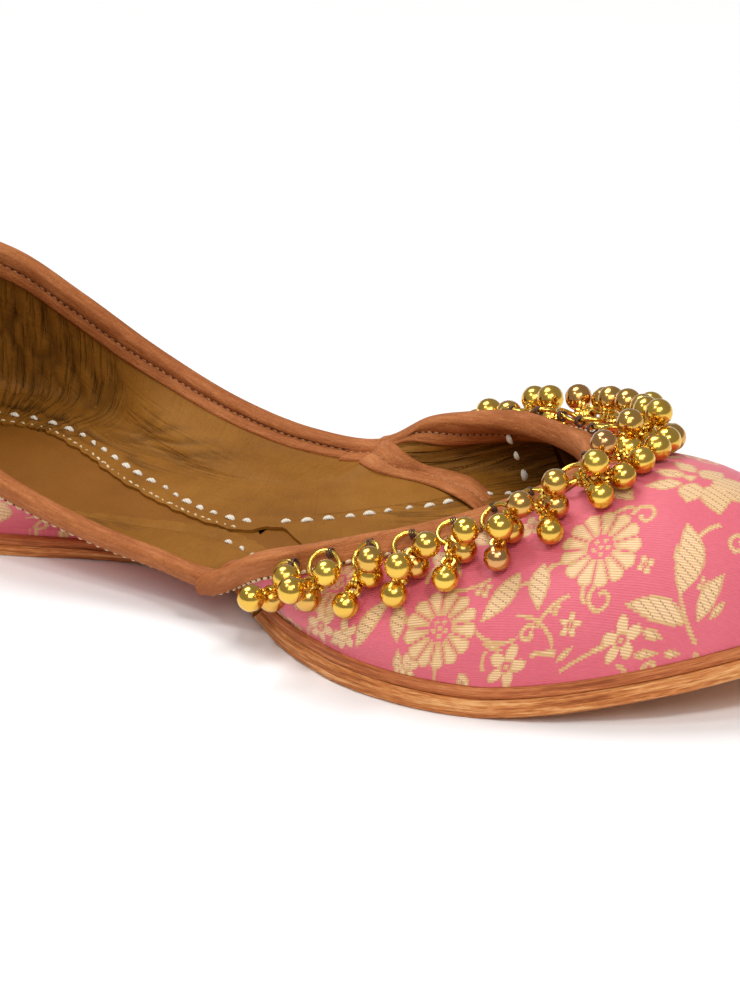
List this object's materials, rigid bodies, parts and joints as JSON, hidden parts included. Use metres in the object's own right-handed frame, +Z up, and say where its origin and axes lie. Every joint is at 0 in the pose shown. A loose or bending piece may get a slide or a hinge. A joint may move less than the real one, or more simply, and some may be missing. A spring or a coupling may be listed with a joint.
{
  "type": "jutti shoe",
  "caption": "Flat slip-on jutti of brocade and leather with bound topline, upturned round toe, low layered leather sole and a garland of ball bells round the throat.",
  "frame": {"origin": "on the floor under the middle of the shoe's box", "axes": "+X from the heel toward the toe, +Z up, -Y the side that faces the viewer in the picture"},
  "size_m": [0.2428, 0.113, 0.0514],
  "materials": {
    "outsole": "burnished raw edge, matte below",
    "midsole": "burnished edge",
    "brocade": "silk brocade with metallic thread flowers",
    "lining": "soft wrinkled lining leather",
    "sock": "smooth matte",
    "binding": "satin folded strip",
    "bells": "polished"
  },
  "bodies": {
    "root": {"outsole": "outsole", "midsole": "midsole", "upper": "brocade", "insole": "lining", "sock": "sock", "collar_binding": "binding", "throat_binding": "binding", "quarter_front_near": "lining", "quarter_front_far": "lining", "bell_cluster_01": "bells", "bell_cluster_02": "bells", "bell_cluster_03": "bells", "bell_cluster_04": "bells", "bell_cluster_05": "bells", "bell_cluster_06": "bells", "bell_cluster_07": "bells", "bell_cluster_08": "bells", "bell_cluster_09": "bells", "bell_cluster_10": "bells", "bell_cluster_11": "bells", "bell_cluster_12": "bells", "bell_cluster_13": "bells", "bell_cluster_14": "bells", "bell_cluster_15": "bells", "bell_cluster_16": "bells", "bell_cluster_17": "bells"}
  },
  "joints": []
}
